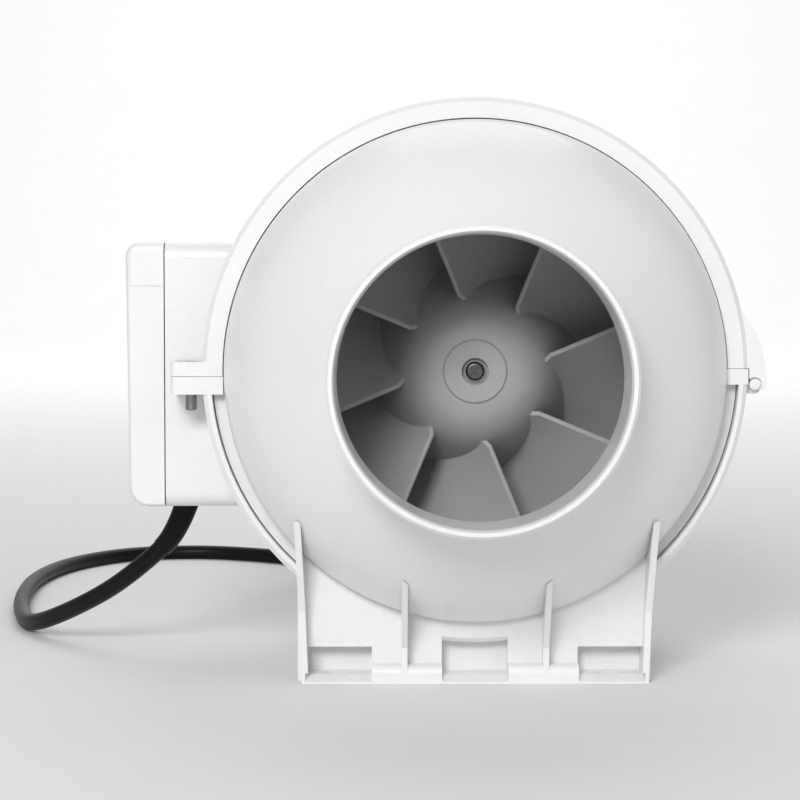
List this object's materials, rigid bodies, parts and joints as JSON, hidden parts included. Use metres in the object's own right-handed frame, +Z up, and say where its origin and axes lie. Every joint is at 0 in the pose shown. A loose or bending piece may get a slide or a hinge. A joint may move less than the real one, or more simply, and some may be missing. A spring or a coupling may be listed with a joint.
{
  "type": "inline duct fan",
  "caption": "Mixed-flow inline duct fan with round spigots, a side terminal box and a mounting bracket that holds the motor unit in hinged clamp straps.",
  "frame": {"origin": "on the base's underside, below the middle of the fan's axis", "axes": "+Y along the fan's axis from inlet to outlet, +Z up, terminal box at -X"},
  "size_m": [0.2828, 0.4209, 0.1966],
  "materials": {
    "white_abs": "satin",
    "grey_plastic": "satin",
    "black_pvc": "satin",
    "rubber": "matte",
    "steel": "satin",
    "laminations": "matte",
    "copper": "gloss",
    "cast_aluminium": "satin",
    "brass": "satin",
    "nylon": "satin"
  },
  "bodies": {
    "root": {"mounting_bracket": "white_abs", "inlet_cone": "white_abs", "outlet_cone": "white_abs", "centre_casing": "white_abs", "terminal_box": "white_abs", "terminal_box_cover": "white_abs", "front_hinge_pin": "white_abs", "rear_hinge_pin": "white_abs", "impeller_shroud": "grey_plastic", "guide_vane_ring": "grey_plastic", "guide_vanes": "grey_plastic", "motor_housing": "grey_plastic", "tail_fairing": "grey_plastic", "cord_gland": "black_pvc", "power_cord": "black_pvc", "cord_coil": "black_pvc", "coil_tie": "black_pvc", "mains_plug": "black_pvc", "motor_lead": "black_pvc", "inlet_gasket": "rubber", "outlet_gasket": "rubber", "cover_gasket": "rubber", "front_clamp_nut": "steel", "rear_clamp_nut": "steel", "motor_bolts": "steel", "front_bearing": "steel", "rear_bearing": "steel", "cover_screws": "steel", "cord_clamp_screws": "steel", "capacitor_clip": "steel", "stator_core": "laminations", "stator_windings": "copper", "motor_front_cap": "cast_aluminium", "motor_rear_cap": "cast_aluminium", "terminal_screws": "brass", "plug_pins": "brass", "terminal_block": "nylon", "cord_clamp": "nylon", "run_capacitor": "nylon"},
    "front_strap_body": {"front_strap": "white_abs", "front_clamp_washer": "steel"},
    "rear_strap_body": {"rear_strap": "white_abs", "rear_clamp_washer": "steel"},
    "front_screw_body": {"front_clamp_screw": "steel"},
    "rear_screw_body": {"rear_clamp_screw": "steel"},
    "rotor_body": {"impeller": "grey_plastic", "impeller_screw": "steel", "impeller_washer": "steel", "motor_shaft": "steel", "rotor_core": "laminations"}
  },
  "joints": [
    {"name": "impeller_spin", "type": "hinge", "parent": "root", "child": "rotor_body", "pos_m": [0, 0, 0.1047], "axis": [0, 1, 0], "continuous": true},
    {"name": "front_strap_hinge", "type": "hinge", "parent": "root", "child": "front_strap_body", "pos_m": [0.0944, -0.044, 0.1002], "axis": [0, 1, 0], "range_deg": [0, 90]},
    {"name": "rear_strap_hinge", "type": "hinge", "parent": "root", "child": "rear_strap_body", "pos_m": [0.0944, 0.044, 0.1002], "axis": [0, 1, 0], "range_deg": [0, 90]},
    {"name": "front_clamp_screw_out", "type": "slide", "parent": "front_strap_body", "child": "front_screw_body", "axis": [0, 0, 1], "range_m": [0, 0.012]},
    {"name": "rear_clamp_screw_out", "type": "slide", "parent": "rear_strap_body", "child": "rear_screw_body", "axis": [0, 0, 1], "range_m": [0, 0.012]}
  ]
}
